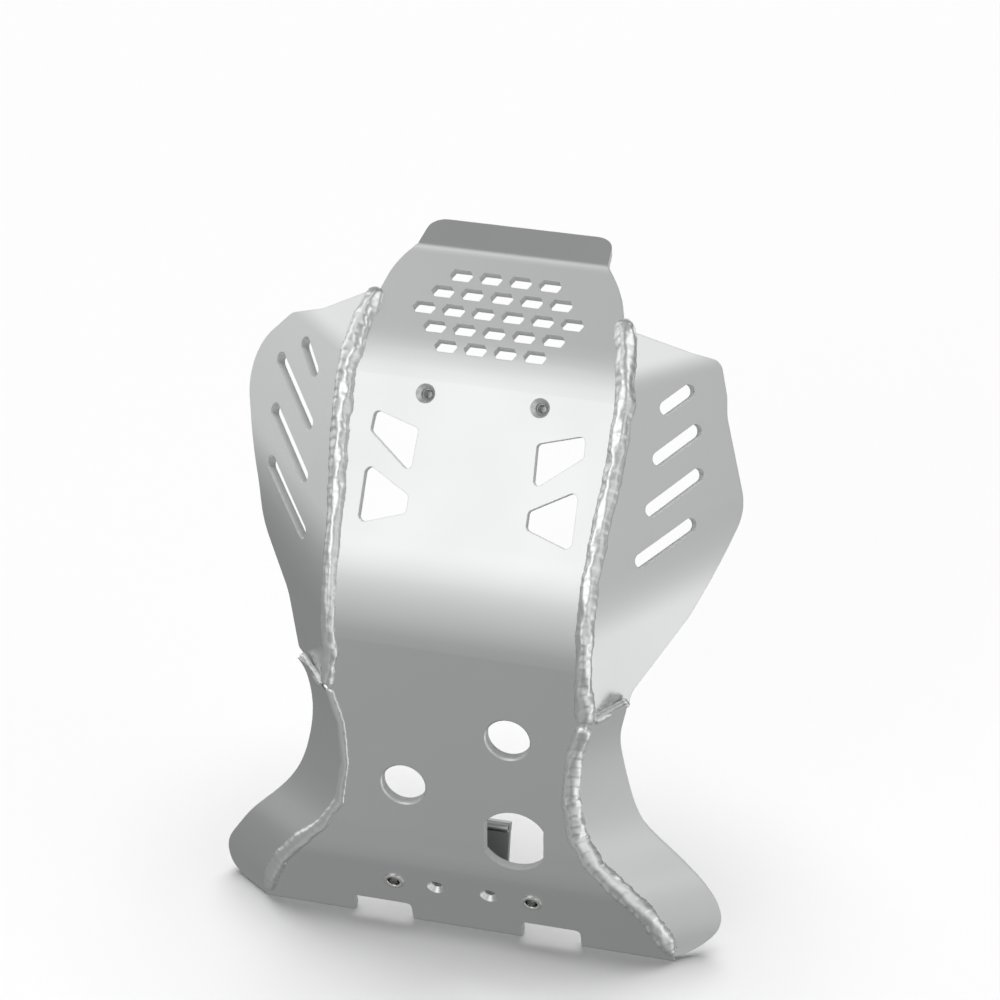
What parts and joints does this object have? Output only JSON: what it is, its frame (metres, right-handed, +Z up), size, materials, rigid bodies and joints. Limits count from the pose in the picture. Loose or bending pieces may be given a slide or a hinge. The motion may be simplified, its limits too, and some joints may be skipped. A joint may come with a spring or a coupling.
{
  "type": "motorcycle skid plate",
  "caption": "Welded aluminium skid plate for a motorcycle, with bent sheet, slotted side wings, hexagon grille and rear hook bracket.",
  "frame": {"origin": "middle of the plate's rear edge, on the line where its outer face meets the edge", "axes": "+Z up from the rear edge to the front lip as the picture stands it, +X to the right of someone facing the outer face, +Y from the outer face toward the engine side"},
  "size_m": [0.3316, 0.1653, 0.4369],
  "materials": {
    "sheet": "satin, fine grain",
    "weld": "bright cast-like bead",
    "extrusion": "mill finish, glossy",
    "insert": "zinc plated",
    "boss": "turned"
  },
  "bodies": {
    "root": {"centre_plate": "sheet", "right_upper_wing": "sheet", "left_upper_wing": "sheet", "right_lower_wing": "sheet", "left_lower_wing": "sheet", "right_upper_weld": "weld", "left_upper_weld": "weld", "right_lower_weld": "weld", "left_lower_weld": "weld", "rear_bracket": "extrusion", "right_insert": "insert", "left_insert": "insert", "right_boss": "boss", "left_boss": "boss"}
  },
  "joints": []
}
